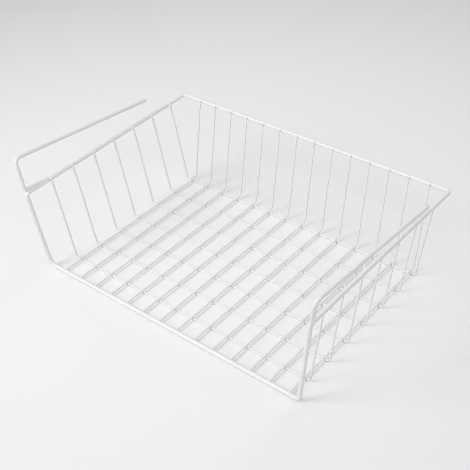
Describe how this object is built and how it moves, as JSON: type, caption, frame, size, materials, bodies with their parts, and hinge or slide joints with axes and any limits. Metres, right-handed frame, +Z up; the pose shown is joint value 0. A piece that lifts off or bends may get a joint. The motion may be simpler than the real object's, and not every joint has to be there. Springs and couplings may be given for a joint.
{
  "type": "under shelf basket",
  "caption": "Welded wire basket with an open front, a thick rim wire and two hook arms that slide over a shelf board, so that it hangs under the shelf.",
  "frame": {"origin": "on the ground the basket stands on, under the middle of the whole basket's box", "axes": "+Z up, +Y from the open front to the back, +X to the right as seen from the front"},
  "size_m": [0.4236, 0.276, 0.1524],
  "materials": {
    "coated_wire": "satin white dip coating on steel wire"
  },
  "bodies": {
    "root": {"frame_wire": "coated_wire", "lengthwise_wire_01": "coated_wire", "lengthwise_wire_02": "coated_wire", "lengthwise_wire_03": "coated_wire", "lengthwise_wire_04": "coated_wire", "lengthwise_wire_05": "coated_wire", "lengthwise_wire_06": "coated_wire", "lengthwise_wire_07": "coated_wire", "lengthwise_wire_08": "coated_wire", "lengthwise_wire_09": "coated_wire", "lengthwise_wire_10": "coated_wire", "lengthwise_wire_11": "coated_wire", "lengthwise_wire_12": "coated_wire", "lengthwise_wire_13": "coated_wire", "lengthwise_wire_14": "coated_wire", "crosswise_wire_1": "coated_wire", "crosswise_wire_2": "coated_wire", "crosswise_wire_3": "coated_wire", "crosswise_wire_4": "coated_wire", "crosswise_wire_5": "coated_wire", "crosswise_wire_6": "coated_wire", "crosswise_wire_7": "coated_wire", "left_hook_arm": "coated_wire", "right_hook_arm": "coated_wire"}
  },
  "joints": []
}
